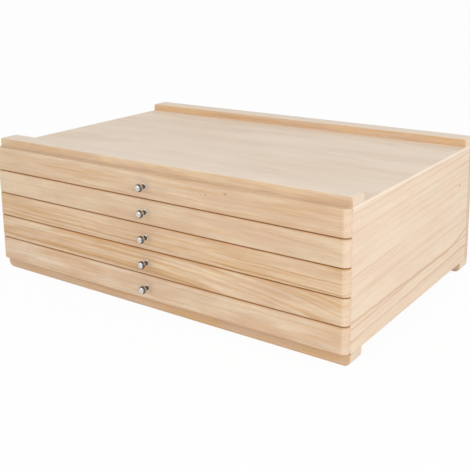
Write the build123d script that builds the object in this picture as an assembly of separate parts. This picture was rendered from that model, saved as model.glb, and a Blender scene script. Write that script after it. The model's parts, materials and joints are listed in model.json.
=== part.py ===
from build123d import *
import os

# A wooden box of shallow drawers for pastels. The drawers slide in a pine case, each on
# a pair of runners that lie in grooves along the drawer's sides, and their fronts cover
# the front of the case. Rails on the lid and strips underneath let the boxes be stacked.
#
# Seen from the front, +X is to the right, +Y to the back and +Z up, in millimetres. The
# origin is on the ground, under the middle of the whole box with its knobs.

# Case
case_width = 440.0           # over the two side boards
case_depth = 284.5           # from the front edges of the sides to the outside of the back
side_thickness = 10.0
back_thickness = 9.5
lid_thickness = 3.0
floor_thickness = 3.0
side_corner = 4.0            # rounding of each side board's lower front corner
board_ease = 0.8             # rounding along the edges of the lid and the back
side_bevel = 0.6             # along the front edges of the side boards
rail_depth = 22.0            # the rails on the lid, front to back
rail_height = 9.0
rail_corner = 3.5            # rounding of the rails' upper end corners
strip_depth = 22.0           # the strips that the case stands on, front to back
strip_height = 11.5
strip_corner = 5.5           # rounding of the strips' lower end corners
rail_ease = 1.8              # rounding along the edges of the rails
strip_bevel = 1.4            # along the edges of the strips

# Stack of drawers
drawer_count = 5
drawer_pitch = 26.0
stack_rise = 1.2             # from the strips up to the lowest drawer's place in the stack

# Drawer fronts
front_thickness = 7.2
front_gap = 0.8              # between one front and the next
front_clearance = 0.3        # behind a closed front, before the case
front_end_round = 4.5        # rounding of the two ends, seen from above
front_edge_bevel = 0.9       # along the long edges and round the ends

# Drawer boxes
box_side_gap = 0.5           # between a drawer's side and the case
box_height_gap = 0.5         # over and under a drawer in the case
box_back_gap = 4.0           # behind a closed drawer
box_side_thickness = 7.0
box_back_thickness = 7.0
box_bottom_thickness = 3.0
rebate_width = 3.5           # ledge under each side that takes the drawer's bottom
divider_thickness = 5.0
divider_height = 11.0
divider_shift = 4.0          # how far the divider lies behind the middle
box_bevel = 0.6              # along the upper edges of sides, back and divider

# Runners
runner_depth = 4.0           # how far they stand in from the case
runner_height = 4.0
runner_fit = 0.3             # clearance in the groove, above, below and beside
runner_setback = 2.0         # behind the front edges of the case

# Knobs and their screws
knob_length = 10.8
knob_base_radius = 3.3
knob_base_thickness = 1.2
knob_neck_radius = 2.3
knob_head_radius = 4.0
knob_head_length = 5.4
knob_dome_height = 1.0       # how far the knob's face bulges
knob_rim_bevel = 0.6         # round the head, before and behind its widest part
knob_back_taper = 2.4        # from the neck's end to the widest part of the head
knob_hole_depth = 7.0
screw_radius = 1.5
screw_end_gap = 1.0          # between the screw's end and the bottom of the knob's hole
thread_fit = 0.05            # around the screw in the knob
screw_hole_fit = 0.3         # around the screw in the drawer front
screw_head_radius = 3.2
screw_head_height = 2.0
screw_head_bevel = 0.8

# Places that follow from the sizes
half_width = case_width / 2
overall_depth = knob_length + front_thickness + front_clearance + case_depth
front_face = knob_length - overall_depth / 2
front_back_face = front_face + front_thickness
case_front = front_back_face + front_clearance
case_back = case_front + case_depth
back_inside = case_back - back_thickness
side_inside = half_width - side_thickness
stack_bottom = strip_height + stack_rise
lid_top = stack_bottom + drawer_count * drawer_pitch
lid_bottom = lid_top - lid_thickness

# A drawer's own heights are counted up from the bottom of its place in the stack.
box_outside = side_inside - box_side_gap
box_inside = box_outside - box_side_thickness
box_back = back_inside - box_back_gap
box_low = floor_thickness + box_height_gap - stack_rise
box_high = drawer_pitch - lid_thickness - box_height_gap
box_middle = (box_low + box_high) / 2
box_floor = box_low + box_bottom_thickness
groove_depth = runner_depth - box_side_gap + runner_fit
groove_height = runner_height + 2 * runner_fit


def block(x_limits, y_limits, z_limits):
    # A squared piece of wood between three pairs of limits.
    limits = (x_limits, y_limits, z_limits)
    size = [max(pair) - min(pair) for pair in limits]
    middle = [(pair[0] + pair[1]) / 2 for pair in limits]
    return Pos(*middle) * Box(*size)


def edges_at(piece, along, across, place):
    # The piece's edges that run along one axis and lie at a place on another.
    return piece.edges().filter_by(along).filter_by_position(across, place - 0.01, place + 0.01)


def side_board(sign):
    board = block(
        (sign * side_inside, sign * half_width),
        (case_front, back_inside),
        (strip_height, lid_bottom),
    )
    low_front = edges_at(board, Axis.X, Axis.Z, strip_height).sort_by(Axis.Y)[0]
    board = fillet(low_front, side_corner)
    front_edge = edges_at(board, Axis.Z, Axis.X, sign * half_width).sort_by(Axis.Y)[0]
    return chamfer(front_edge, side_bevel)


def back_board():
    board = block(
        (-half_width, half_width), (back_inside, case_back), (strip_height, lid_bottom)
    )
    return fillet(edges_at(board, Axis.Z, Axis.Y, case_back), board_ease)


def lid_panel():
    panel = block((-half_width, half_width), (case_front, case_back), (lid_bottom, lid_top))
    return fillet(panel.faces().sort_by(Axis.Z)[-1].edges(), board_ease)


def floor_panel():
    return block(
        (-side_inside, side_inside),
        (case_front, back_inside),
        (strip_height, strip_height + floor_thickness),
    )


def cross_bar(y_limits, seat, free, corner):
    # A rail or strip across the case, from its seat on the case to its free side. Returns
    # it with its two free end corners rounded, and its front and back edges but the seat's.
    bar = block((-half_width, half_width), y_limits, (seat, free))
    bar = fillet(edges_at(bar, Axis.Y, Axis.Z, free), corner)
    seat_edges = edges_at(bar, Axis.X, Axis.Z, seat)
    rims = [edge for face in bar.faces().filter_by(Axis.Y) for edge in face.edges()]
    return bar, [edge for edge in rims if edge not in seat_edges]


def top_rail(edge, inward):
    y_limits = (edge, edge + inward * rail_depth)
    bar, rims = cross_bar(y_limits, lid_top, lid_top + rail_height, rail_corner)
    return fillet(rims, rail_ease)


def base_strip(edge, inward):
    y_limits = (edge, edge + inward * strip_depth)
    bar, rims = cross_bar(y_limits, strip_height, 0, strip_corner)
    return chamfer(rims, strip_bevel)


def runner(sign, bottom):
    return block(
        (sign * side_inside, sign * (side_inside - runner_depth)),
        (case_front + runner_setback, back_inside),
        (bottom + box_middle - runner_height / 2, bottom + box_middle + runner_height / 2),
    )


def drawer_front(bottom):
    low = bottom + front_gap / 2
    high = bottom + drawer_pitch - front_gap / 2
    board = block((-half_width, half_width), (front_face, front_back_face), (low, high))
    board = fillet(edges_at(board, Axis.Z, Axis.Y, front_face), front_end_round)
    rims = board.faces().filter_by(Axis.Z).edges()
    back_rims = edges_at(board, Axis.X, Axis.Y, front_back_face)
    board = chamfer([edge for edge in rims if edge not in back_rims], front_edge_bevel)
    hole = Cylinder(screw_radius + screw_hole_fit, 2 * front_thickness, rotation=(90, 0, 0))
    return board - Pos(0, front_face + front_thickness / 2, bottom + drawer_pitch / 2) * hole


def drawer_side(sign, bottom):
    # The side has a groove outside for the runner and a rebate inside for the bottom.
    y_limits = (front_back_face, box_back)
    board = block(
        (sign * box_inside, sign * box_outside),
        y_limits,
        (bottom + box_low, bottom + box_high),
    )
    board = chamfer(edges_at(board, Axis.Y, Axis.Z, bottom + box_high), box_bevel)
    groove = block(
        (sign * box_outside, sign * (box_outside - groove_depth)),
        y_limits,
        (bottom + box_middle - groove_height / 2, bottom + box_middle + groove_height / 2),
    )
    rebate = block(
        (sign * box_inside, sign * (box_inside + rebate_width)),
        y_limits,
        (bottom + box_low, bottom + box_floor),
    )
    return board - groove - rebate


def drawer_bottom(bottom):
    reach = box_inside + rebate_width
    return block(
        (-reach, reach), (front_back_face, box_back), (bottom + box_low, bottom + box_floor)
    )


def wall_across(y_limits, low, high):
    # An upright piece between the drawer's two sides, with its upper edges bevelled.
    wall = block((-box_inside, box_inside), y_limits, (low, high))
    return chamfer(edges_at(wall, Axis.X, Axis.Z, high), box_bevel)


def drawer_back(bottom):
    return wall_across(
        (box_back - box_back_thickness, box_back), bottom + box_floor, bottom + box_high
    )


def drawer_divider(bottom):
    middle = (front_back_face + box_back - box_back_thickness) / 2 + divider_shift
    return wall_across(
        (middle - divider_thickness / 2, middle + divider_thickness / 2),
        bottom + box_floor,
        bottom + box_floor + divider_height,
    )


def turned(outline, bottom, y_place):
    # Turns an outline about the knob's axis. The outline has the distance from the axis
    # as X, and as Y the distance that it stands out to the front from y_place.
    solid = revolve(outline, Axis.Y)
    return Pos(0, y_place, bottom + drawer_pitch / 2) * Rot(0, 0, 180) * solid


def knob(bottom):
    # A flanged foot, a straight neck, and a head with a domed face and a tapered back.
    hole_radius = screw_radius + thread_fit
    head_start = knob_length - knob_head_length
    back_edge = head_start + knob_back_taper
    dome_edge = knob_length - knob_dome_height
    face_radius = knob_head_radius - knob_rim_bevel
    outline = Polyline(
        (0, knob_length),
        (0, knob_hole_depth),
        (hole_radius, knob_hole_depth),
        (hole_radius, 0),
        (knob_base_radius, 0),
        (knob_base_radius, knob_base_thickness),
        (knob_neck_radius, knob_base_thickness),
        (knob_neck_radius, head_start),
        (face_radius, head_start + knob_rim_bevel),
        (knob_head_radius, back_edge),
        (knob_head_radius, dome_edge - knob_rim_bevel),
        (face_radius, dome_edge),
        (face_radius / 2, knob_length - knob_dome_height / 4),
        close=True,
    )
    return turned(make_face(outline), bottom, front_face)


def knob_screw(bottom):
    tip = front_thickness + knob_hole_depth - screw_end_gap
    outline = Polyline(
        (0, -screw_head_height),
        (screw_head_radius - screw_head_bevel, -screw_head_height),
        (screw_head_radius, screw_head_bevel - screw_head_height),
        (screw_head_radius, 0),
        (screw_radius, 0),
        (screw_radius, tip),
        (0, tip),
        close=True,
    )
    return turned(make_face(outline), bottom, front_back_face)


parts = {
    "lid_panel": lid_panel(),
    "floor_panel": floor_panel(),
    "back_board": back_board(),
}

hands = {"left": -1, "right": 1}
for hand, sign in hands.items():
    parts[f"side_board_{hand}"] = side_board(sign)

for end, edge, inward in (("front", case_front, 1), ("back", case_back, -1)):
    parts[f"top_rail_{end}"] = top_rail(edge, inward)
    parts[f"base_strip_{end}"] = base_strip(edge, inward)

# Drawers and runners are numbered from the top down.
for number in range(1, drawer_count + 1):
    bottom = stack_bottom + (drawer_count - number) * drawer_pitch
    for hand, sign in hands.items():
        parts[f"runner_{number}_{hand}"] = runner(sign, bottom)
        parts[f"drawer_{number}_side_{hand}"] = drawer_side(sign, bottom)
    parts[f"drawer_{number}_front"] = drawer_front(bottom)
    parts[f"drawer_{number}_back"] = drawer_back(bottom)
    parts[f"drawer_{number}_bottom"] = drawer_bottom(bottom)
    parts[f"drawer_{number}_divider"] = drawer_divider(bottom)
    parts[f"drawer_{number}_knob"] = knob(bottom)
    parts[f"drawer_{number}_knob_screw"] = knob_screw(bottom)

os.makedirs("parts", exist_ok=True)
for name, piece in parts.items():
    export_step(piece, f"parts/{name}.step")
print(len(parts), "pieces, overall depth", overall_depth, "height", lid_top + rail_height)
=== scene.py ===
import json
import math

import bmesh
import bpy
from mathutils import Matrix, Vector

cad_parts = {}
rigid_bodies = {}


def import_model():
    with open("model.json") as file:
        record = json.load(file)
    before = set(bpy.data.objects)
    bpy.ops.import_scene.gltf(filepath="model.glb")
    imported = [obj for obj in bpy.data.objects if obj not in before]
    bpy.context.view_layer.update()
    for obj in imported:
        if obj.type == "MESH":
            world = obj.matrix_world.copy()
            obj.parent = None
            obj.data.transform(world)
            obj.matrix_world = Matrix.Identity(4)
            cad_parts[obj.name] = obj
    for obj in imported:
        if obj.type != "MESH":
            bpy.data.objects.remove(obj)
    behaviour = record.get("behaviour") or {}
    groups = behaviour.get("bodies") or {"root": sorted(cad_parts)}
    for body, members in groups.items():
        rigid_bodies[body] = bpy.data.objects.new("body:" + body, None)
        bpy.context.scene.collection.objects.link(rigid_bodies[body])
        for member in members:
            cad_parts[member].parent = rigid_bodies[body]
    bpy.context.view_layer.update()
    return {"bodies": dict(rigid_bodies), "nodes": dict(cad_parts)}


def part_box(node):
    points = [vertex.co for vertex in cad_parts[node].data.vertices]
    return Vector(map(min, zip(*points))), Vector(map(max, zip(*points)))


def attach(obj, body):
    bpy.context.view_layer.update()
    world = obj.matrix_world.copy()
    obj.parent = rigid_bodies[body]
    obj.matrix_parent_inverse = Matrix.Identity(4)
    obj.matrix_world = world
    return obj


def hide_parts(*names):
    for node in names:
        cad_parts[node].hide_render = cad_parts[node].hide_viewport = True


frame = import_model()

nodes = frame["nodes"]
drawers = sorted(body for body in frame["bodies"] if body.startswith("drawer"))
mm = 0.001
screenGamma = 2.2
print("frame:", len(nodes), "nodes,", len(drawers), "drawers")


def tone(red, green, blue):  # a screen colour as the light it stands for
    return tuple((part / 255) ** screenGamma for part in (red, green, blue)) + (1.0,)


def linked(name, data):
    thing = bpy.data.objects.new(name, data)
    bpy.context.scene.collection.objects.link(thing)
    return thing


def baked(thing):  # its shape with the modifiers in it, as a plain mesh
    return bpy.data.meshes.new_from_object(thing.evaluated_get(bpy.context.evaluated_depsgraph_get()))


def feed(tree, node, values):  # sets an input, or links it when the value is a socket
    for key, value in values.items():
        socket = node.inputs[key]
        if isinstance(value, bpy.types.NodeSocket):
            tree.links.new(value, socket)
        else:
            socket.default_value = value


def sums(tree, operation, first, second=0.0):
    node = tree.nodes.new("ShaderNodeMath")
    node.operation = operation
    feed(tree, node, {0: first, 1: second})
    return node.outputs[0]


def plus(tree, first, second):
    return sums(tree, "ADD", first, second)


def minus(tree, first, second):
    return sums(tree, "SUBTRACT", first, second)


def times(tree, first, second):
    return sums(tree, "MULTIPLY", first, second)


def over(tree, first, second):
    return sums(tree, "DIVIDE", first, second)


def squarePast(tree, value, start):  # nothing up to start, then the square of how far past it
    past = sums(tree, "MAXIMUM", minus(tree, value, start), 0.0)
    return times(tree, past, past)


def vectorSums(tree, operation, *values):
    node = tree.nodes.new("ShaderNodeVectorMath")
    node.operation = operation
    feed(tree, node, dict(enumerate(values)))
    return node.outputs["Value" if operation == "LENGTH" else "Vector"]


def vector(tree, first, second, third):
    node = tree.nodes.new("ShaderNodeCombineXYZ")
    feed(tree, node, {0: first, 1: second, 2: third})
    return node.outputs[0]


def parts(tree, whole):  # the three parts of a vector
    split = tree.nodes.new("ShaderNodeSeparateXYZ")
    feed(tree, split, {0: whole})
    return split.outputs


def ramp(tree, value, stops, smooth=True):  # stops are pairs of place and brightness
    node = tree.nodes.new("ShaderNodeValToRGB")
    node.color_ramp.interpolation = "EASE" if smooth else "LINEAR"
    while len(node.color_ramp.elements) < len(stops):
        node.color_ramp.elements.new(1.0)
    for element, (place, level) in zip(node.color_ramp.elements, stops):
        element.position = place
        element.color = (level, level, level, 1.0)
    feed(tree, node, {0: value})
    return node.outputs[0]


def noise(tree, place, scales, detail, roughness=0.5):  # scales stretch it per axis
    stretched = vectorSums(tree, "MULTIPLY", place, scales)
    node = tree.nodes.new("ShaderNodeTexNoise")
    feed(tree, node, {"Vector": stretched, "Scale": 1.0, "Detail": detail, "Roughness": roughness})
    return node.outputs[0]


def evenNoise(tree, place, *kind):  # as much below nothing as above
    return minus(tree, noise(tree, place, *kind), 0.5)


def blend(tree, amount, first, second, mode="MIX"):
    node = tree.nodes.new("ShaderNodeMix")
    node.data_type = "RGBA"
    node.blend_type = mode
    feed(tree, node, {0: amount, 6: first, 7: second})
    return node.outputs[2]


def bumped(tree, height, strength, depth):
    bump = tree.nodes.new("ShaderNodeBump")
    feed(tree, bump, {"Height": height, "Strength": strength, "Distance": depth})
    return bump.outputs[0]


def coordinates(tree, kind="Object"):
    return tree.nodes.new("ShaderNodeTexCoord").outputs[kind]


def newMaterial(name):
    material = bpy.data.materials.new(name)
    material.use_nodes = True
    return material, material.node_tree, material.node_tree.nodes["Principled BSDF"]


# Millimetres along the grain, through the board and across it, moved by shift.
def boardPlace(tree, grain, shift):
    x, y, z = parts(tree, vectorSums(tree, "MULTIPLY_ADD", coordinates(tree), (1 / mm,) * 3, shift))
    return vector(tree, *((x, y, z) if grain == "X" else (y, x, z)))


def heightPart(tree, low, high):  # 0 to 1 from low to high, in metres
    return over(tree, minus(tree, parts(tree, coordinates(tree))[2], low), high - low)


# Each pattern in the wood: how finely it changes per millimetre along, through and across the
# board, then its detail, and its roughness where that isn't a half.
pineFigure = {
    "bend": ((0.0032, 0.011, 0.011), 2.0),
    "ripple": ((0.028, 0.09, 0.09), 3.0, 0.6),
    "rippleHeight": 2.6,  # millimetres
    "ringWidths": ((0.07, 1.0, 1.0), 1.0),  # out from the pith
    "ringWidthChange": 3.6,
    "lateWood": [(0.0, 0.3), (0.14, 0.0), (0.45, 0.08), (0.88, 1.0), (1.0, 0.3)],  # over one ring
    "ringKinds": [(0.0, 0.1), (0.6, 0.5), (0.9, 1.0)],  # from faint rings to dark ones
    "fading": ((0.006, 0.04, 0.04), 2.0),
    "fadingRange": [(0.32, 0.3), (0.62, 1.0)],
    "streaks": ((0.006, 0.17, 1.0), 3.0, 0.6),  # along, and out from the pith
    "streakLayer": 3.0,
    "streakRange": [(0.42, 0.0), (0.66, 1.0)],
    "fibres": ((0.035, 0.8, 0.8), 4.0, 0.75),
    "clouds": ((0.012, 0.05, 0.05), 3.0, 0.6),
    "flecks": ((0.09, 1.3, 1.3), 1.0),
    "fleckRange": [(0.66, 0.0), (0.78, 1.0)],
}


# One tree for all the pine: yearly rings about a pith, broad streaks and fine fibres.
def pineGrainTree():
    tree = bpy.data.node_groups.new("pineGrain", "ShaderNodeTree")
    face = tree.interface
    face.new_socket("Place", in_out="INPUT", socket_type="NodeSocketVector")
    for name in ("Pith Depth", "Pith Across", "Ring Spacing", "Lean", "Waver", "Flare Start", "Flare"):
        face.new_socket(name, in_out="INPUT", socket_type="NodeSocketFloat")
    for name in ("Rings", "Streaks", "Fibres", "Clouds", "Flecks"):
        face.new_socket(name, in_out="OUTPUT", socket_type="NodeSocketFloat")
    inside = tree.nodes.new("NodeGroupInput").outputs
    outside = tree.nodes.new("NodeGroupOutput")
    figure = pineFigure
    place = inside["Place"]
    along, depth, across = parts(tree, place)
    depth = minus(tree, depth, inside["Pith Depth"])
    across = minus(tree, across, inside["Pith Across"])
    squares = plus(tree, times(tree, depth, depth), times(tree, across, across))
    radius = plus(tree, sums(tree, "SQRT", squares), times(tree, along, inside["Lean"]))
    fan = times(tree, squarePast(tree, along, inside["Flare Start"]), inside["Flare"])
    radius = plus(tree, radius, fan)
    bend = evenNoise(tree, place, *figure["bend"])
    radius = plus(tree, radius, times(tree, bend, inside["Waver"]))
    ripple = evenNoise(tree, place, *figure["ripple"])
    radius = plus(tree, radius, times(tree, ripple, figure["rippleHeight"]))
    widths = noise(tree, vector(tree, radius, 0.0, 0.0), *figure["ringWidths"])
    years = over(tree, radius, inside["Ring Spacing"])
    years = plus(tree, years, times(tree, widths, figure["ringWidthChange"]))
    late = ramp(tree, sums(tree, "FRACT", years), figure["lateWood"])
    eachYear = tree.nodes.new("ShaderNodeTexWhiteNoise")
    eachYear.noise_dimensions = "1D"
    feed(tree, eachYear, {"W": sums(tree, "FLOOR", years)})
    kind = ramp(tree, eachYear.outputs[0], figure["ringKinds"], smooth=False)
    fading = ramp(tree, noise(tree, place, *figure["fading"]), figure["fadingRange"])
    streaks = noise(tree, vector(tree, along, radius, figure["streakLayer"]), *figure["streaks"])
    feed(tree, outside, {
        "Rings": times(tree, late, times(tree, kind, fading)),
        "Streaks": ramp(tree, streaks, figure["streakRange"]),
        "Fibres": noise(tree, place, *figure["fibres"]),
        "Clouds": noise(tree, place, *figure["clouds"]),
        "Flecks": ramp(tree, noise(tree, place, *figure["flecks"]), figure["fleckRange"]),
    })
    return tree


pineGrain = pineGrainTree()

pineWood = {  # what all pine pieces share; each piece's own look may change it
    "grain": "X",
    "shift": (0.0, 0.0, 0.0),  # each board is cut from another place in the wood
    "pale": tone(230, 203, 170),
    "cloud": tone(224, 191, 160),
    "streak": tone(214, 169, 118),
    "late": tone(200, 154, 104),
    "endGrain": tone(226, 198, 164),
    # painted shade: the warm dark of the gaps between the drawer fronts
    "rim": tone(206, 152, 96),
    "knot": tone(150, 100, 60),
    "endStart": 0.6,  # how far a face turns to the board's end before it counts as end grain
    "endAmount": 0.5,
    "rings": 0.5,
    "streaks": 0.5,
    "flecks": 0.35,
    "fibres": 0.16,  # how much darker a fibre's trough is
    "pithDepth": 60.0,
    "pithAcross": -150.0,
    "spacing": 4.2,
    "lean": 0.01,
    "waver": 5.0,
    "flare": 0.0,  # how fast the grain fans out past flareStart
    "flareStart": 0.0,
    "top": None,  # painted sheen: a paler colour for faces that look up, for the light they catch
    "rims": None,  # heights of the rounded edges, where painted shade stands for the warm shade in the gaps between fronts
    "knots": [],  # a place in the board, a size and a strength each
    "growthLine": None,  # a darker line along the board, as in sideLine
    "roughness": 0.5,
    "roughnessChange": 0.12,
    "fibreHeight": 0.5,
    "ringDepth": 0.3,
    "bump": 0.15,
    "bumpDepth": 0.4 * mm,
}
cloudRange = [(0.35, 0.0), (0.65, 1.0)]
# painted sheen: how far a face looks up before it takes the paler top colour
paintedSheenRange = [(0.5, 0.0), (0.95, 0.85)]
endTurn = 0.3  # how much further a face turns until it is all end grain
grooveShadeRamp = [(0.0, 0.5), (0.05, 0.1), (0.08, 0.0), (0.93, 0.0), (1.0, 0.55)]  # painted shade in the gaps, from the lower edge up


def pine(name, **look):
    look = {**pineWood, **look}
    material, tree, shader = newMaterial(name)
    place = boardPlace(tree, look["grain"], look["shift"])
    grain = tree.nodes.new("ShaderNodeGroup")
    grain.node_tree = pineGrain
    feed(tree, grain, {
        "Place": place, "Pith Depth": look["pithDepth"], "Pith Across": look["pithAcross"],
        "Ring Spacing": look["spacing"], "Lean": look["lean"], "Waver": look["waver"],
        "Flare Start": look["flareStart"] + look["shift"][0], "Flare": look["flare"],
    })
    rings, streaks, fibres, clouds, flecks = grain.outputs
    colour = blend(tree, ramp(tree, clouds, cloudRange), look["pale"], look["cloud"])
    colour = blend(tree, times(tree, streaks, look["streaks"]), colour, look["streak"])
    colour = blend(tree, times(tree, rings, look["rings"]), colour, look["late"])
    ends = endFactor(tree, look["grain"], look["endStart"])
    colour = blend(tree, times(tree, ends, look["endAmount"]), colour, look["endGrain"])
    # painted sheen on faces that look up
    if look["top"]:
        paintedSheen = ramp(tree, parts(tree, coordinates(tree, "Normal"))[2], paintedSheenRange)
        colour = blend(tree, paintedSheen, colour, look["top"])
    # painted shade along the top and bottom edges of a front, where the gaps are
    if look["rims"]:
        colour = blend(tree, ramp(tree, heightPart(tree, *look["rims"]), grooveShadeRamp), colour, look["rim"])
    if look["growthLine"]:
        colour = blend(tree, growthLine(tree, place, **look["growthLine"]), colour, look["late"])
    for knot in look["knots"]:
        colour = blend(tree, knotMark(tree, place, *knot), colour, look["knot"])
    shade = ramp(tree, fibres, [(0.3, 1.0 - look["fibres"]), (0.68, 1.0)], smooth=False)
    colour = blend(tree, 1.0, colour, shade, "MULTIPLY")
    colour = blend(tree, times(tree, flecks, look["flecks"]), colour, look["late"])
    height = minus(tree, times(tree, fibres, look["fibreHeight"]), times(tree, rings, look["ringDepth"]))
    change = look["roughnessChange"]
    feed(tree, shader, {
        "Base Color": colour,
        "Roughness": plus(tree, times(tree, fibres, change), look["roughness"] - change / 2),
        "Normal": bumped(tree, height, look["bump"], look["bumpDepth"]),
    })
    return material


def endFactor(tree, grain, start):  # 1 where the board is cut across its grain
    facing = sums(tree, "ABSOLUTE", parts(tree, coordinates(tree, "Normal"))["XY".index(grain)])
    return ramp(tree, facing, [(start, 0.0), (start + endTurn, 1.0)])


lineShape = {
    "wave": ((0.02, 1.0, 1.0), 2.0),
    "layer": (5.0, 0.0),
    "across": [(0.0, 0.0), (0.42, 1.0), (0.5, 1.0), (1.0, 0.0)],  # sharper on its lower side
}


# A darker line from start to end, each a place along the board and across it in millimetres.
# It wavers on its way, and curls away across the board over its last stretch.
def growthLine(tree, place, start, end, width, strength, waver, curl, curlLength):
    along, across = parts(tree, place)[0], parts(tree, place)[2]
    slope = (end[1] - start[1]) / (end[0] - start[0])
    line = times(tree, minus(tree, along, start[0]), slope)
    wave = evenNoise(tree, vector(tree, along, *lineShape["layer"]), *lineShape["wave"])
    line = plus(tree, line, times(tree, wave, waver))
    line = plus(tree, line, times(tree, squarePast(tree, along, end[0] - curlLength), curl))
    above = minus(tree, minus(tree, across, start[1]), line)
    level = plus(tree, over(tree, above, 2 * width), 0.5)
    return times(tree, ramp(tree, level, lineShape["across"]), strength)


# A small knot at a point in the board's own millimetres, twice as long along the grain.
def knotMark(tree, place, point, size, strength):
    offset = vectorSums(tree, "SUBTRACT", place, point)
    flat = vectorSums(tree, "MULTIPLY", offset, (0.5 / size, 1.0 / size, 1.0 / size))
    return ramp(tree, vectorSums(tree, "LENGTH", flat), [(0.2, strength), (1.0, 0.0)])


plyWood = {
    "pale": tone(243, 225, 204),
    "cloud": tone(236, 215, 192),
    "wisp": tone(190, 154, 120),
    "edge": tone(244, 226, 204),
    "edgePly": [(0.2, 0.0), (0.4, 0.9), (0.9, 0.9), (0.96, 0.0)],  # from the panel's underside up
    "wisps": 0.33,
    "bend": ((0.004, 0.01, 0.02), 2.0),
    "bendReach": 60.0,  # millimetres
    "cloudNoise": ((0.005, 0.03, 0.02), 3.0),
    "groundNoise": ((0.007, 0.02, 0.02), 1.0),  # where on the panel wisps show
    "groundRange": [(0.4, 0.0), (0.62, 1.0)],
    "wispNoise": ((0.022, 0.3, 0.2), 4.0, 0.65),
    "wispRange": [(0.5, 0.0), (0.7, 1.0)],
    "fibreNoise": ((0.04, 1.2, 1.2), 3.0, 0.6),
    "fibreShade": [(0.25, 0.94), (0.7, 1.0)],
    "roughness": 0.6,
    "roughnessChange": 0.1,
    "bump": 0.08,
    "bumpDepth": 0.3 * mm,
}


# Thin plywood: a face veneer with faint wisps, and a paler middle ply at its edges.
def plywood(name, low, high):
    look = plyWood
    material, tree, shader = newMaterial(name)
    place = boardPlace(tree, "X", (0.0, 0.0, 0.0))
    bend = times(tree, noise(tree, place, *look["bend"]), look["bendReach"])
    bent = vectorSums(tree, "ADD", place, vector(tree, 0.0, bend, 0.0))
    clouds = noise(tree, bent, *look["cloudNoise"])
    grounds = ramp(tree, noise(tree, place, *look["groundNoise"]), look["groundRange"])
    wisps = ramp(tree, noise(tree, bent, *look["wispNoise"]), look["wispRange"])
    fibres = noise(tree, place, *look["fibreNoise"])
    colour = blend(tree, ramp(tree, clouds, cloudRange), look["pale"], look["cloud"])
    amount = times(tree, times(tree, wisps, grounds), look["wisps"])
    colour = blend(tree, amount, colour, look["wisp"])
    shade = ramp(tree, fibres, look["fibreShade"], smooth=False)
    colour = blend(tree, 1.0, colour, shade, "MULTIPLY")
    colour = blend(tree, ramp(tree, heightPart(tree, low, high), look["edgePly"]), colour, look["edge"])
    change = look["roughnessChange"]
    feed(tree, shader, {
        "Base Color": colour,
        "Roughness": plus(tree, times(tree, fibres, change), look["roughness"] - change / 2),
        "Normal": bumped(tree, fibres, look["bump"], look["bumpDepth"]),
    })
    return material


metalScuffsAndPaintedBands = {
    "colour": (0.3, 0.29, 0.27, 1.0),
    "scuffs": ((900.0, 900.0, 900.0), 3.0),  # per metre
    "range": [(0.4, 0.0), (0.7, 0.5)],
    # how the painted bands fade in and out along y
    "paintedBandEdges": [(0.0, 0.0), (0.15, 1.0), (0.85, 1.0), (1.0, 0.0)],
}


# Plated metal with fine scuffs. Each band is painted darker, from one place along y to another: the neck
# band is painted shade, the head band a painted dark reflection.
def metal(name, colour, roughness, paintedShadeAndReflectionBands=()):
    material, tree, shader = newMaterial(name)
    coords = coordinates(tree)
    scuffs = noise(tree, coords, *metalScuffsAndPaintedBands["scuffs"])
    scuffedAndPainted = blend(tree, ramp(tree, scuffs, metalScuffsAndPaintedBands["range"]), colour, metalScuffsAndPaintedBands["colour"])
    for start, end, dark in paintedShadeAndReflectionBands:
        level = over(tree, minus(tree, parts(tree, coords)[1], start), end - start)
        scuffedAndPainted = blend(tree, ramp(tree, level, metalScuffsAndPaintedBands["paintedBandEdges"]), scuffedAndPainted, dark)
    smoothest, roughest = roughness
    finish = plus(tree, times(tree, scuffs, roughest - smoothest), smoothest)
    feed(tree, shader, {"Base Color": scuffedAndPainted, "Metallic": 1.0, "Roughness": finish})
    return material


frontLooks = {  # from the top drawer down; across is measured up from the ground
    "drawer_1": {
        "shift": (40.0, 0.0, 0.0), "pithDepth": -100.0, "pithAcross": 60.0, "spacing": 3.8, "rings": 0.5,
        "streaks": 0.6, "pale": tone(234, 208, 176),
        "knots": [((136.0, -140.6, 136.5), 1.5, 0.5), ((114.0, -140.6, 132.5), 1.2, 0.4)],
    },
    "drawer_2": {
        "shift": (900.0, 0.0, 0.0), "pithDepth": -122.0, "pithAcross": 84.0, "spacing": 5.0, "rings": 0.3,
        "streaks": 0.3, "lean": -0.01, "waver": 7.0, "flare": 0.0003, "flareStart": 60.0,
        "pale": tone(233, 207, 175),
    },
    "drawer_3": {
        "shift": (-700.0, 0.0, 0.0), "pithDepth": -110.0, "pithAcross": 0.0, "spacing": 5.0, "rings": 0.95,
        "streaks": 0.8, "pale": tone(236, 209, 174),
    },
    "drawer_4": {
        "shift": (300.0, 0.0, 0.0), "pithDepth": -126.0, "pithAcross": 26.0, "spacing": 5.4, "rings": 0.9,
        "streaks": 0.9, "lean": 0.005, "waver": 4.0, "flare": 0.0004, "pale": tone(238, 212, 178),
    },
    "drawer_5": {
        "shift": (-250.0, 0.0, 0.0), "pithDepth": -100.0, "pithAcross": -40.0, "spacing": 4.6, "rings": 0.4,
        "streaks": 0.5, "pale": tone(239, 217, 190),
    },
}
frontEnds = {"endGrain": tone(244, 217, 194), "endStart": 0.08, "endAmount": 0.4}
topGrooveShadeLift = 3 * mm  # keeps the top edge of the stack of fronts pale: no gap is above it, so the painted shade is lifted past it
sideLook = {
    "grain": "Y", "pale": tone(239, 219, 192), "late": tone(212, 174, 136), "streak": tone(233, 203, 170),
    "cloud": tone(237, 210, 185), "pithDepth": 150.0, "pithAcross": -60.0, "lean": -0.02, "spacing": 6.8,
    "rings": 0.95, "streaks": 0.3, "waver": 6.0, "fibres": 0.08,
}
sideKnots = [((116.0, 220.0, 103.5), 1.8, 0.6)]
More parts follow.
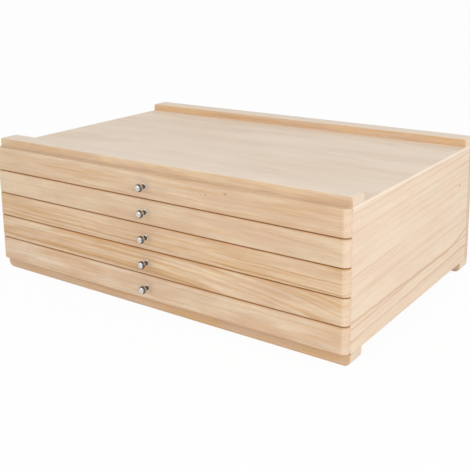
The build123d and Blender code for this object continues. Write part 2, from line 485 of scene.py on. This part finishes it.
sideLine = {
    "start": (-131.0, 40.5), "end": (145.0, 39.0), "width": 2.6, "strength": 0.7,
    "waver": 7.0, "curl": 0.0032, "curlLength": 60.0,
}
backLook = {"pale": tone(230, 208, 182), "shift": (0.0, 0.0, 500.0), "pithAcross": 300.0}
boxLook = {"pale": tone(232, 208, 176), "rings": 0.4, "spacing": 5.0}
railLook = {
    "pale": tone(237, 211, 174), "spacing": 3.6, "pithDepth": -90.0, "pithAcross": 80.0, "endAmount": 0.6,
    # top: painted sheen on the rails' upward faces
    "top": tone(247, 230, 211), "endGrain": tone(246, 231, 213),
}
railLooks = {
    "top_rail_front": {"shift": (100.0, 0.0, 0.0)},
    # painted shade: the back rail's darker, more orange pale stands in for the shade on its front face
    "top_rail_back": {"shift": (500.0, 0.0, 0.0), "pale": tone(232, 194, 148), "pithDepth": 90.0},
    "base_strip_front": {"shift": (-300.0, 0.0, 0.0), "pithAcross": -60.0, "pale": tone(222, 182, 134)},
    "base_strip_back": {"shift": (-800.0, 0.0, 0.0), "pithAcross": -40.0, "pithDepth": 90.0},
}
metalLooks = {
    "chrome": (0.7, 0.69, 0.67, 1.0),
    "chromeRoughness": (0.08, 0.2),
    "neckShadeBand": (6.0 * mm, 1.0 * mm, (0.17, 0.145, 0.12, 1.0)),  # painted shade in the neck's recess; out from the drawer's front
    # painted dark reflection across the middle of the head
    "headReflectionBand": (10.3 * mm, 8.1 * mm, (0.13, 0.12, 0.11, 1.0)),
    "zinc": (0.72, 0.71, 0.66, 1.0),
    "zincRoughness": (0.25, 0.4),
}

finishes = {node: pine(node + "Pine", **{**railLook, **look}) for node, look in railLooks.items()}
finishes["side_board_right"] = pine("sideBoardRightPine", **sideLook, knots=sideKnots, growthLine=sideLine)
finishes["side_board_left"] = pine("sideBoardLeftPine", **sideLook, shift=(430.0, 0.0, 20.0))
finishes["back_board"] = pine("backBoardPine", **backLook)
for panel in ("lid_panel", "floor_panel"):
    low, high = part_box(panel)
    finishes[panel] = plywood(panel.replace("_panel", "Plywood"), low.z, high.z)
alongPine = pine("drawerPineAlong", grain="Y", **boxLook)
acrossPine = pine("drawerPineAcross", grain="X", **boxLook)
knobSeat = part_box("drawer_1_knob")[1].y
# the painted neck shade and head reflection, as places along y
paintedShadeAndReflectionBands = [
    (knobSeat - far, knobSeat - near, dark)
    for far, near, dark in (metalLooks["neckShadeBand"], metalLooks["headReflectionBand"])
]
chrome = metal("knobChrome", metalLooks["chrome"], metalLooks["chromeRoughness"], paintedShadeAndReflectionBands)
zinc = metal("screwZinc", metalLooks["zinc"], metalLooks["zincRoughness"])
for body in drawers:
    low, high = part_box(body + "_front")
    # painted gap shade from each front's bottom edge to its top edge
    rims = (low.z, high.z + (topGrooveShadeLift if body == "drawer_1" else 0))
    finishes[body + "_front"] = pine(body + "FrontPine", **frontLooks[body], **frontEnds, rims=rims)
    low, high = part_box(body + "_bottom")
    finishes[body + "_bottom"] = plywood(body + "BottomPlywood", low.z, high.z)
    finishes[body + "_knob"] = chrome
    finishes[body + "_knob_screw"] = zinc
    for part in ("back", "divider"):
        finishes[f"{body}_{part}"] = acrossPine
    for part in ("side_left", "side_right"):
        finishes[f"{body}_{part}"] = alongPine
for name, node in nodes.items():
    node.data.materials.clear()
    node.data.materials.append(finishes.get(name, alongPine))  # the runners have the drawers' pine
print("materials:", len(bpy.data.materials))


sharpAngle = 35  # degrees between two faces, past which their edge stays crisp


def finishedPiece(name, mesh, body, node):
    mesh.materials.clear()
    mesh.materials.append(finishes[node])
    mesh.shade_smooth()
    mesh.set_sharp_from_angle(angle=math.radians(sharpAngle))
    piece = linked(name, mesh)
    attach(piece, body)
    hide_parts(node)


def carved(mesh, shape):  # mesh with the bmesh shape cut out of it
    tool = linked("tool", bpy.data.meshes.new("tool"))
    shape.to_mesh(tool.data)
    shape.free()
    board = linked("board", mesh)
    cut = board.modifiers.new("cut", "BOOLEAN")
    cut.object = tool
    cut.operation = "DIFFERENCE"
    result = baked(board)
    for thing in (tool, board):
        bpy.data.objects.remove(thing)
    return result


frontBoard = {
    "endRound": 6.5 * mm,  # the ends, seen from above
    "rimRound": 1.25 * mm,  # along the edges and round the ends
    "ease": 0.9 * mm,  # taken off the ends behind, where they meet the case
    "holeRadius": 1.8 * mm,
    "holeSides": 24,
}
rail = {"endRound": 3.5 * mm, "rimRound": 1.8 * mm, "ease": 0.0}
strip = {"endRound": 7.0 * mm, "rimRound": 1.4 * mm, "ease": 0.0}
roundSteps = {"end": 10, "rim": 5}


# A board's outline at one level: flat on its seat, with its two far corners rounded.
def boardOutline(low, high, reach, inset, board):
    ease = board["ease"]
    far = board["endRound"] - inset
    points = [(low + inset + ease, 0.0)]
    if ease:
        points.append((low + inset, ease))
    for centre, start in ((low + board["endRound"], 180), (high - board["endRound"], 90)):
        for step in range(roundSteps["end"] + 1):
            angle = math.radians(start - 90 * step / roundSteps["end"])
            out = reach - board["endRound"] + far * math.sin(angle)
            points.append((centre + far * math.cos(angle), out))
    if ease:
        points.append((high - inset, ease))
    points.append((high - inset - ease, 0.0))
    return points


# A board along x, lofted through its outlines from one rounded rim to the other.
# It is drawn as x, out from its seat, and level; toScene turns that into the scene.
def roundedBoard(name, width, reach, depth, board, toScene):
    levels = []
    for step in range(roundSteps["rim"] + 1):
        angle = math.pi / 2 * step / roundSteps["rim"]
        levels.append((board["rimRound"] * (1 - math.cos(angle)), board["rimRound"] * (1 - math.sin(angle))))
    levels += [(depth - level, inset) for level, inset in reversed(levels)]
    build = bmesh.new()
    loops = []
    for level, inset in levels:
        outline = boardOutline(*width, reach, inset, board)
        loops.append([build.verts.new(toScene(x, out, level)) for x, out in outline])
    for lower, upper in zip(loops, loops[1:]):
        for index, corner in enumerate(lower):
            after = (index + 1) % len(lower)
            build.faces.new((corner, lower[after], upper[after], upper[index]))
    build.faces.new(loops[0][::-1])
    build.faces.new(loops[-1])
    bmesh.ops.recalc_face_normals(build, faces=build.faces)
    mesh = bpy.data.meshes.new(name)
    build.to_mesh(mesh)
    build.free()
    return mesh


def drilled(mesh, node):  # the screw's hole, through the middle of the board
    low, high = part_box(node)
    drill = bmesh.new()
    bmesh.ops.create_cone(
        drill, cap_ends=True, segments=frontBoard["holeSides"], depth=2 * (high.y - low.y),
        radius1=frontBoard["holeRadius"], radius2=frontBoard["holeRadius"],
        matrix=Matrix.Translation((low + high) / 2) @ Matrix.Rotation(math.pi / 2, 4, "X"),
    )
    return carved(mesh, drill)


for body in drawers:
    node = body + "_front"
    low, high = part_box(node)
    mesh = roundedBoard(
        node, (low.x, high.x), high.y - low.y, high.z - low.z, frontBoard,
        lambda x, out, level: (x, high.y - out, low.z + level),
    )
    finishedPiece(body + "Front", drilled(mesh, node), body, node)
print("drawer fronts:", len(drawers))

for end in ("front", "back"):
    node = "top_rail_" + end
    low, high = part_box(node)
    mesh = roundedBoard(
        node, (low.x, high.x), high.z - low.z, high.y - low.y, rail,
        lambda x, out, level: (x, low.y + level, low.z + out),
    )
    finishedPiece("topRail" + end.title(), mesh, "case", node)
    node = "base_strip_" + end
    low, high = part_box(node)
    mesh = roundedBoard(
        node, (low.x, high.x), high.z - low.z, high.y - low.y, strip,
        lambda x, out, level: (x, low.y + level, high.z - out),
    )
    finishedPiece("baseStrip" + end.title(), mesh, "case", node)
print("rails and strips: 4")


knobShape = {  # radii in millimetres at lengths from the drawer front; True is a sharp turn
    "length": 10.8,
    "widest": 4.0,
    "facets": 40,
    "steps": 72,
    "profile": [
        (0.0, 3.3, True), (0.9, 3.3, True), (1.2, 3.0, True), (1.25, 2.45, True), (2.2, 2.3, False),
        (4.6, 2.3, False), (5.6, 2.75, True), (6.4, 3.65, False), (7.6, 4.0, False), (9.0, 3.8, False),
        (10.0, 3.1, False), (10.6, 1.9, False), (10.8, 0.05, True),
    ],
}
screwShape = {  # from the top of its head, inside the drawer, to its tip in the knob
    "length": 15.2,
    "widest": 3.2,
    "facets": 32,
    "steps": 96,
    "profile": [
        (0.0, 0.05, True), (0.05, 2.0, True), (0.45, 2.7, False), (1.1, 3.1, False), (1.8, 3.2, True),
        (1.95, 3.1, True), (2.0, 1.5, True), (14.4, 1.5, True), (15.2, 0.8, True),
    ],
    "slotLength": 3.4,
    "slotWidth": 0.7,
    "slotDepth": 1.0,
}


# A round shape turned along a line to the front, its radius read from the profile.
def turningTree(shape):
    tree = bpy.data.node_groups.new("turning", "GeometryNodeTree")
    face = tree.interface
    inputs = {
        "Geometry": "Geometry", "Length": "Float", "Widest": "Float", "Seat": "Vector",
        "Facets": "Int", "Steps": "Int", "Material": "Material",
    }
    for name, kind in inputs.items():
        face.new_socket(name, in_out="INPUT", socket_type="NodeSocket" + kind)
    face.new_socket("Geometry", in_out="OUTPUT", socket_type="NodeSocketGeometry")
    inside = tree.nodes.new("NodeGroupInput").outputs
    outside = tree.nodes.new("NodeGroupOutput")

    def step(kind, values):
        node = tree.nodes.new("GeometryNode" + kind)
        feed(tree, node, values)
        return node.outputs[0]

    tip = vector(tree, 0.0, times(tree, inside["Length"], -1.0), 0.0)
    line = step("CurvePrimitiveLine", {"End": tip})
    points = step("ResampleCurve", {"Curve": line, "Count": inside["Steps"]})
    profile = tree.nodes.new("ShaderNodeFloatCurve")
    curve = profile.mapping.curves[0]
    while len(curve.points) < len(shape["profile"]):
        curve.points.new(0.5, 0.5)
    for point, (place, radius, sharp) in zip(curve.points, shape["profile"]):
        point.location = (place / shape["length"], radius / shape["widest"])
        point.handle_type = "VECTOR" if sharp else "AUTO"
    profile.mapping.update()
    feed(tree, profile, {"Value": step("SplineParameter", {})})
    radius = times(tree, profile.outputs[0], inside["Widest"])
    thickness = step("SetCurveRadius", {"Curve": points, "Radius": radius})
    circle = step("CurvePrimitiveCircle", {"Resolution": inside["Facets"], "Radius": 1.0})
    skin = step("CurveToMesh", {
        "Curve": thickness, "Profile Curve": circle, "Fill Caps": True, "Scale": step("InputRadius", {}),
    })
    seated = step("Transform", {"Geometry": skin, "Translation": inside["Seat"]})
    real = step("RealizeInstances", {"Geometry": seated})
    coated = step("SetMaterial", {"Geometry": real, "Material": inside["Material"]})
    feed(tree, outside, {"Geometry": coated})
    return tree


def bakedTree(tree, name, values):  # runs a tree on an empty mesh and returns the plain mesh
    holder = linked(name, bpy.data.meshes.new(name))
    modifier = holder.modifiers.new(name, "NODES")
    modifier.node_group = tree
    for item in tree.interface.items_tree:
        if item.in_out == "INPUT" and item.name in values:
            modifier[item.identifier] = values[item.name]
    mesh = baked(holder)
    holder.modifiers.clear()
    bpy.data.objects.remove(holder)
    return mesh


def seatOf(node):  # the middle of a turned solid's rear end
    low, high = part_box(node)
    return (low.x + high.x) / 2, high.y, (low.z + high.z) / 2


def turned(tree, shape, name, node):
    return bakedTree(tree, name, {
        "Length": shape["length"] * mm, "Widest": shape["widest"] * mm, "Seat": seatOf(node),
        "Facets": shape["facets"], "Steps": shape["steps"], "Material": finishes[node],
    })


def crossCut(mesh, seat):  # the cross in the screw's head
    length, width, depth = (screwShape[key] * mm for key in ("slotLength", "slotWidth", "slotDepth"))
    for across, upright in ((length, width), (width, length)):
        bar = bmesh.new()
        bmesh.ops.create_cube(bar, size=1.0)
        bmesh.ops.scale(bar, vec=(across, 2 * depth, upright), verts=bar.verts)
        bmesh.ops.translate(bar, vec=seat, verts=bar.verts)
        mesh = carved(mesh, bar)
    return mesh


knobTree = turningTree(knobShape)
screwTree = turningTree(screwShape)
for body in drawers:
    node = body + "_knob"
    mesh = turned(knobTree, knobShape, body + "Knob", node)
    finishedPiece(body + "Knob", mesh, body, node)
    node = body + "_knob_screw"
    mesh = crossCut(turned(screwTree, screwShape, body + "Screw", node), seatOf(node))
    finishedPiece(body + "Screw", mesh, body, node)
print("knobs and screws:", len(drawers))


stage = {
    "floorHalf": 12.0,
    "floorTone": tone(246, 246, 246),
    "floorRoughness": 0.9,
    "floorGlow": 0.95,  # how much of the floor is plain white to the camera
    "worldLight": 0.66,
}
white = (1, 1, 1, 1)


# White to the camera and in reflections, and the plain surface to every other ray.
def glowFactor(tree):
    path = tree.nodes.new("ShaderNodeLightPath").outputs
    seen = sums(tree, "MAXIMUM", path["Is Camera Ray"], path["Is Glossy Ray"])
    return sums(tree, "MAXIMUM", seen, path["Is Transmission Ray"])


def whiteFloor():
    mesh = bpy.data.meshes.new("floor")
    half = stage["floorHalf"]
    corners = [(-half, -half, 0), (half, -half, 0), (half, half, 0), (-half, half, 0)]
    mesh.from_pydata(corners, [], [(0, 1, 2, 3)])
    material, tree, shader = newMaterial("floorPaper")
    feed(tree, shader, {
        "Base Color": stage["floorTone"], "Roughness": stage["floorRoughness"], "Specular IOR Level": 0.0,
    })
    glow = tree.nodes.new("ShaderNodeEmission")
    feed(tree, glow, {"Color": white, "Strength": 1.0})
    mix = tree.nodes.new("ShaderNodeMixShader")
    amount = times(tree, glowFactor(tree), stage["floorGlow"])
    feed(tree, mix, {0: amount, 1: shader.outputs[0], 2: glow.outputs[0]})
    feed(tree, tree.nodes["Material Output"], {"Surface": mix.outputs[0]})
    mesh.materials.append(material)
    floor = linked("floor", mesh)


def whiteWorld():
    world = bpy.data.worlds.new("studio")
    bpy.context.scene.world = world
    world.use_nodes = True
    tree = world.node_tree
    lift = times(tree, glowFactor(tree), 1.0 - stage["worldLight"])
    strength = plus(tree, lift, stage["worldLight"])
    feed(tree, tree.nodes["Background"], {"Color": white, "Strength": strength})


lamps = {
    "keyLamp": {"place": (1.7, -1.0, 1.0), "size": 1.2, "watts": 17.0},
    "frontLamp": {"place": (-0.8, -2.0, 0.8), "size": 1.6, "watts": 6.0},
}


def areaLamp(name, place, size, watts):  # a square lamp that looks at the origin
    lamp = bpy.data.lights.new(name, "AREA")
    lamp.size = size
    lamp.energy = watts
    thing = linked(name, lamp)
    thing.location = place
    thing.rotation_euler = (-thing.location).to_track_quat("-Z", "Y").to_euler()


camera = {
    "place": (0.5089, -0.7054, 0.3370),
    "turn": 35.37,  # degrees about the upright, from looking straight to the back
    "tilt": -12.24,
    "roll": 0.72,
    "lens": 62.09,
    "sensor": 36.0,
    "shiftUp": -0.2,
}


def photoCamera():
    thing = linked("camera", bpy.data.cameras.new("camera"))
    turn, tilt, roll = (math.radians(camera[key]) for key in ("turn", "tilt", "roll"))
    aim = Matrix.Rotation(turn, 4, "Z") @ Matrix.Rotation(tilt + math.pi / 2, 4, "X")
    aim = aim @ Matrix.Rotation(-roll, 4, "Z")
    thing.matrix_world = Matrix.Translation(camera["place"]) @ aim
    thing.data.lens = camera["lens"]
    thing.data.sensor_width = camera["sensor"]
    thing.data.shift_y = camera["shiftUp"]
    bpy.context.scene.camera = thing


whiteFloor()
whiteWorld()
for name, values in lamps.items():
    areaLamp(name, **values)
photoCamera()
bpy.context.scene.view_settings.view_transform = "Standard"
print("stage, lamps and camera")
